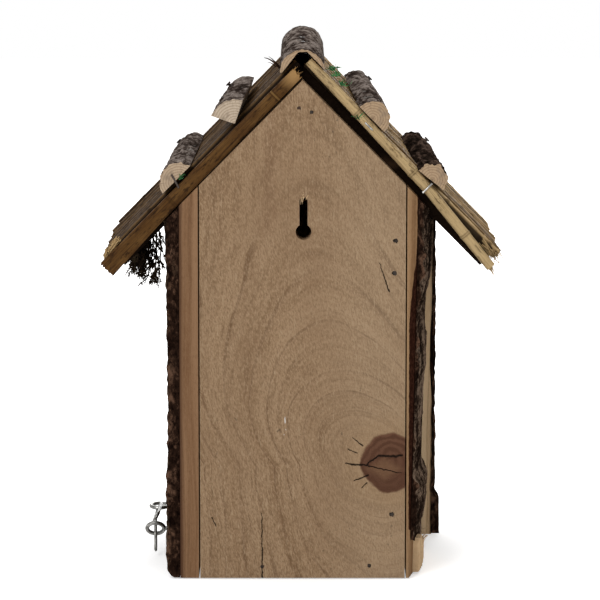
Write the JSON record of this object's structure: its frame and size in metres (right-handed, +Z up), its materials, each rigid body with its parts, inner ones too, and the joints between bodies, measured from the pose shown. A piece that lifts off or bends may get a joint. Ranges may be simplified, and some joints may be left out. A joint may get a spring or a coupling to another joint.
{
  "type": "bird nest box",
  "caption": "Rustic wall-hung nest box: gabled sawn back with keyhole, bark slab walls, hinged side door with hook latch, roof of canes, split bamboo and small logs.",
  "frame": {"origin": "centre of the floor board's underside, on the plane that the box stands on", "axes": "+Z up along the walls, +Y from the back board to the entrance front, +X to the right as seen from behind"},
  "size_m": [0.2094, 0.154, 0.2765],
  "materials": {
    "sawn_wood": "rough sawn, weathered brown",
    "slab_wood": "rough sawn, light",
    "roof_wood": "rough sawn, dark",
    "bark": "flaky bark",
    "log": "grey-brown bark with pale sawn ends",
    "cane": "satin dried cane",
    "bamboo": "satin split bamboo",
    "steel": "dull zinc-plated wire",
    "nail_steel": "dull, slightly rusted",
    "heather": "dry dark twigs"
  },
  "bodies": {
    "box": {"back_board": "sawn_wood", "left_post": "slab_wood", "post_bark": "bark", "right_wall": "slab_wood", "right_bark": "bark", "front_slab": "slab_wood", "front_bark": "bark", "floor_board": "sawn_wood", "ridge_batten": "sawn_wood", "pivot_nails": "nail_steel", "roof_board_left": "roof_wood", "roof_board_right": "roof_wood", "edge_slat_left": "bamboo", "edge_cane_right": "cane", "canes_left": "bamboo", "canes_right": "cane", "ridge_log": "log", "log_left_lower": "log", "log_left_upper": "log", "log_right_upper": "log", "log_right_lower": "log", "wall_nails": "nail_steel", "roof_nails": "nail_steel", "log_nails": "nail_steel", "roof_staples": "steel", "eye_post": "steel", "heather_sprig": "heather"},
    "door": {"left_door": "slab_wood", "door_bark": "bark", "eye_door": "steel"},
    "hook": {"latch_hook": "steel"}
  },
  "joints": [
    {"name": "door_swing", "type": "hinge", "parent": "box", "child": "door", "pos_m": [-0.0572, 0, 0.1895], "axis": [0, 1, 0], "range_deg": [0, 30]},
    {"name": "hook_swing", "type": "hinge", "parent": "door", "child": "hook", "pos_m": [-0.0786, 0.04834, 0.01492], "axis": [-1, 0, 0], "range_deg": [0, 110]}
  ]
}
